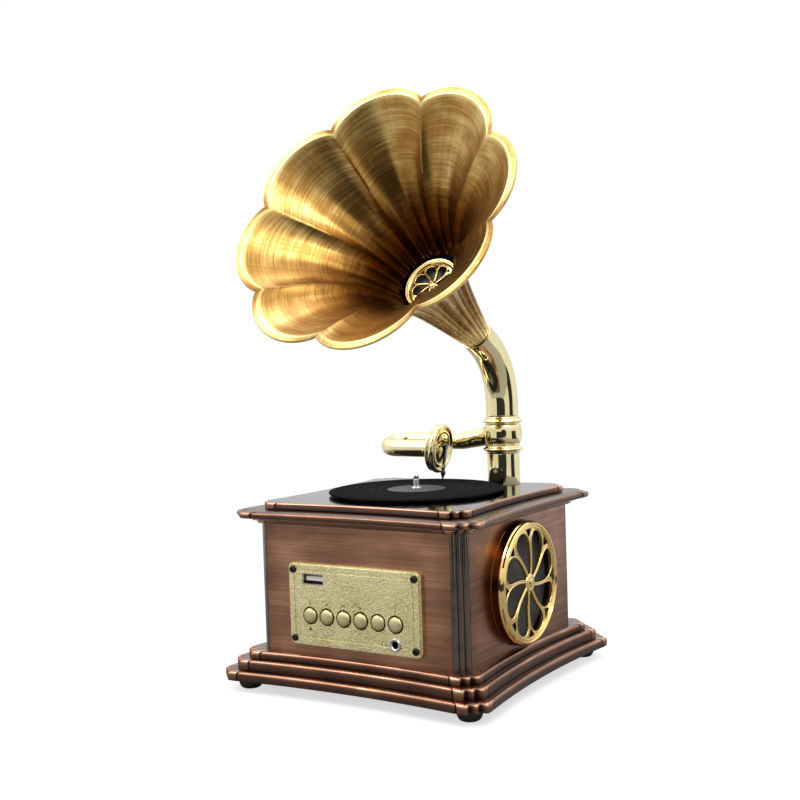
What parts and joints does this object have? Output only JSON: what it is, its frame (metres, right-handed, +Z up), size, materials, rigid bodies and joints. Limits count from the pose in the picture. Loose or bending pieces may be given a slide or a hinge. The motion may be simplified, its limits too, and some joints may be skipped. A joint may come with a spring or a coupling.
{
  "type": "horn phonograph speaker",
  "caption": "Tabletop horn phonograph speaker: stepped square base, turning record, swinging tone arm, petal horn on a swivelling elbow, push buttons, sockets and side grilles.",
  "frame": {"origin": "on the floor under the middle of the whole object's bounding box; the cabinet's own centre line is 11.9 mm to -X and 19.8 mm to +Y of it", "axes": "+Z up, -Y out of the front with the control plate, +X to the side with the horn and the right-hand grille"},
  "size_m": [0.1822, 0.198, 0.3075],
  "materials": {
    "rubber_black": "matt moulded rubber",
    "screw_steel": "zinc plated",
    "black_screw": "blackened steel",
    "dark_plastic": "moulded, slightly grained",
    "copper_plate": "antique copper plating, brushed and lacquered",
    "dark_post": "dark polished antique plating",
    "deck_copper": "polished antique copper plating",
    "plate_brass": "fine sand texture, brushed border",
    "button_brass": "turned and polished",
    "board_green": "solder mask",
    "socket_steel": "nickel plated",
    "lens": "small dark lens",
    "gold": "polished gold plating",
    "cloth_black": "open weave",
    "speaker_metal": "stamped steel",
    "cone_paper": "pressed paper",
    "vinyl": "grooved and glossy",
    "label_paper": "satin printed paper, no text",
    "spindle_steel": "polished",
    "bush_brass": "machined",
    "gear_nylon": "moulded",
    "motor_can": "rolled can",
    "horn_brass": "antique brass, brushed in rings, lacquered",
    "lever_black": "gloss black"
  },
  "bodies": {
    "cabinet": {"feet": "rubber_black", "foot_screws": "screw_steel", "bottom_cover": "dark_plastic", "cover_screws": "black_screw", "plinth_lower": "copper_plate", "plinth_middle": "copper_plate", "plinth_upper": "copper_plate", "front_panel": "copper_plate", "back_panel": "copper_plate", "left_panel": "copper_plate", "right_panel": "copper_plate", "corner_posts": "dark_post", "crown_moulding": "copper_plate", "deck_plate": "deck_copper", "control_plate": "plate_brass", "plate_screws": "black_screw", "control_board": "board_green", "usb_socket": "socket_steel", "aux_jack": "socket_steel", "indicator": "lens", "grille_right": "gold", "grille_left": "gold", "cloth_right": "cloth_black", "cloth_left": "cloth_black", "basket_right": "speaker_metal", "basket_left": "speaker_metal", "cone_right": "cone_paper", "cone_left": "cone_paper", "speaker_screws": "screw_steel", "spindle_bush": "bush_brass", "motor": "motor_can", "motor_bracket": "screw_steel", "pillar": "gold", "pillar_nut": "bush_brass", "main_board": "board_green", "dc_inlet": "dark_plastic", "switch_body": "motor_can"},
    "turntable": {"record": "vinyl", "record_label": "label_paper", "platter": "dark_plastic", "spindle": "spindle_steel", "platter_gear": "gear_nylon"},
    "pinion": {"motor_pinion": "bush_brass"},
    "button_1": {"button_1": "button_brass"},
    "button_2": {"button_2": "button_brass"},
    "button_3": {"button_3": "button_brass"},
    "button_4": {"button_4": "button_brass"},
    "button_5": {"button_5": "button_brass"},
    "button_6": {"button_6": "button_brass"},
    "tonearm": {"tonearm_collar": "gold", "tonearm_tube": "gold"},
    "sound_box": {"sound_box": "gold", "sound_box_face": "gold", "needle_lever": "lever_black", "needle": "spindle_steel"},
    "horn": {"elbow": "gold", "horn": "horn_brass", "horn_grille": "gold", "tweeter": "dark_plastic"},
    "power_switch": {"power_switch": "dark_plastic"}
  },
  "joints": [
    {"name": "record_spin", "type": "hinge", "parent": "cabinet", "child": "turntable", "pos_m": [-0.0119, 0.0198, 0.09], "axis": [0, 0, 1], "continuous": true},
    {"name": "pinion_spin", "type": "hinge", "parent": "cabinet", "child": "pinion", "pos_m": [-0.0119, 0.0414, 0.084], "axis": [0, 0, 1], "continuous": true},
    {"name": "tonearm_swing", "type": "hinge", "parent": "cabinet", "child": "tonearm", "pos_m": [0.0161, 0.0698, 0.127], "axis": [0, 0, 1], "range_deg": [-35, 40]},
    {"name": "sound_box_turn", "type": "hinge", "parent": "tonearm", "child": "sound_box", "pos_m": [-0.0199, 0.0507, 0.1195], "axis": [1, 0, 0], "range_deg": [-90, 0]},
    {"name": "horn_swing", "type": "hinge", "parent": "cabinet", "child": "horn", "pos_m": [0.0161, 0.0698, 0.14], "axis": [0, 0, 1], "range_deg": [-60, 60]},
    {"name": "power_slide", "type": "slide", "parent": "cabinet", "child": "power_switch", "axis": [1, 0, 0], "range_m": [0, 0.004]},
    {"name": "button_1_press", "type": "slide", "parent": "cabinet", "child": "button_1", "axis": [0, 1, 0], "range_m": [0, 0.0005], "stiffness_N_per_m": 900, "springref_m": -0.0006},
    {"name": "button_2_press", "type": "slide", "parent": "cabinet", "child": "button_2", "axis": [0, 1, 0], "range_m": [0, 0.0005], "stiffness_N_per_m": 900, "springref_m": -0.0006},
    {"name": "button_3_press", "type": "slide", "parent": "cabinet", "child": "button_3", "axis": [0, 1, 0], "range_m": [0, 0.0005], "stiffness_N_per_m": 900, "springref_m": -0.0006},
    {"name": "button_4_press", "type": "slide", "parent": "cabinet", "child": "button_4", "axis": [0, 1, 0], "range_m": [0, 0.0005], "stiffness_N_per_m": 900, "springref_m": -0.0006},
    {"name": "button_5_press", "type": "slide", "parent": "cabinet", "child": "button_5", "axis": [0, 1, 0], "range_m": [0, 0.0005], "stiffness_N_per_m": 900, "springref_m": -0.0006},
    {"name": "button_6_press", "type": "slide", "parent": "cabinet", "child": "button_6", "axis": [0, 1, 0], "range_m": [0, 0.0005], "stiffness_N_per_m": 900, "springref_m": -0.0006}
  ],
  "couplings": [
    {"joint": "pinion_spin", "follows": "record_spin", "ratio": -5}
  ]
}
